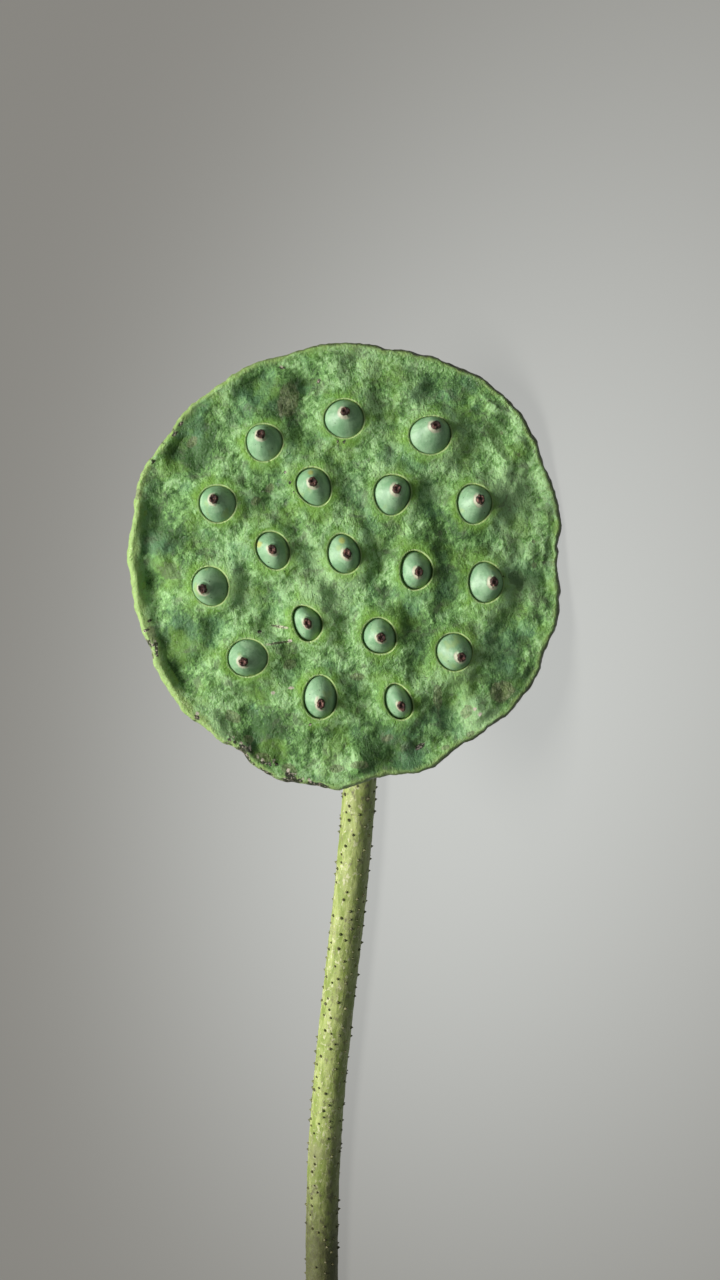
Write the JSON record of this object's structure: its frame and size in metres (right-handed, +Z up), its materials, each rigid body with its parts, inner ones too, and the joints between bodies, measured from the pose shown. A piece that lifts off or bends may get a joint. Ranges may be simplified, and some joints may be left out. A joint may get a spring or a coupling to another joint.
{
  "type": "lotus seed pod",
  "caption": "Fresh green lotus seed pod with loose seeds in its round face, on a prickly cut stem, lying on its side.",
  "frame": {"origin": "middle of the bounding box's underside, on the surface the pod lies on", "axes": "+Z up from that surface, +X from the stem's cut end towards the head, -Y on the side the face looks to"},
  "size_m": [0.2911, 0.1333, 0.0848],
  "materials": {
    "receptacle": "fresh green spongy skin, mottled, softly lumpy",
    "seed": "waxy blue-green seed coat with a dry brown stub",
    "stem": "satin yellow-green stalk with small dark prickles"
  },
  "bodies": {
    "root": {"receptacle": "receptacle", "stem": "stem", "seed_01": "seed", "seed_02": "seed", "seed_03": "seed", "seed_04": "seed", "seed_05": "seed", "seed_06": "seed", "seed_07": "seed", "seed_08": "seed", "seed_09": "seed", "seed_10": "seed", "seed_11": "seed", "seed_12": "seed", "seed_13": "seed", "seed_14": "seed", "seed_15": "seed", "seed_16": "seed", "seed_17": "seed", "seed_18": "seed"}
  },
  "joints": []
}
